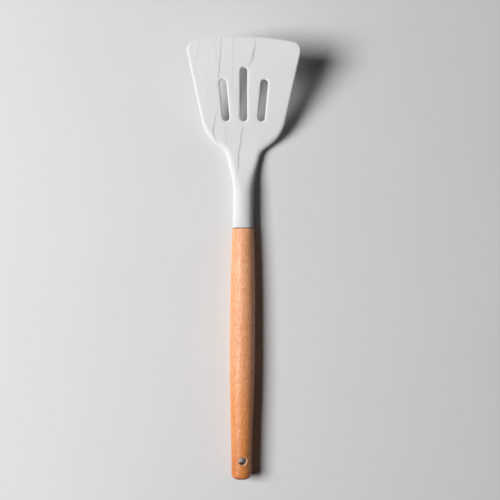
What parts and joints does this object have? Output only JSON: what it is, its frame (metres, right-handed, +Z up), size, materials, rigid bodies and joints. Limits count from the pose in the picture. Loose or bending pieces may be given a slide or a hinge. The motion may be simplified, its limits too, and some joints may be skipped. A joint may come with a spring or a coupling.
{
  "type": "slotted turner",
  "caption": "Slotted turner with a swept-up, marble-effect silicone head on a round neck and a turned beech handle with a hanging hole",
  "frame": {"origin": "middle of the footprint, on the table that the turner lies on face up", "axes": "+Y runs along the turner from the hanging hole to the leading edge of the blade, +Z is up from the table to the upper face of the blade, and +X is to the right seen from above with the blade at the top"},
  "size_m": [0.0824, 0.3259, 0.0488],
  "materials": {
    "silicone": "satin moulded silicone, off-white with thin grey marble veins",
    "nylon": "moulded glass-filled nylon, dark grey, matt",
    "beech": "turned and sanded beech, oiled, with short lengthwise flecks",
    "glue": "cured clear adhesive"
  },
  "bodies": {
    "root": {"silicone_head": "silicone", "head_core": "nylon", "handle": "beech", "tang_glue": "glue"}
  },
  "joints": []
}
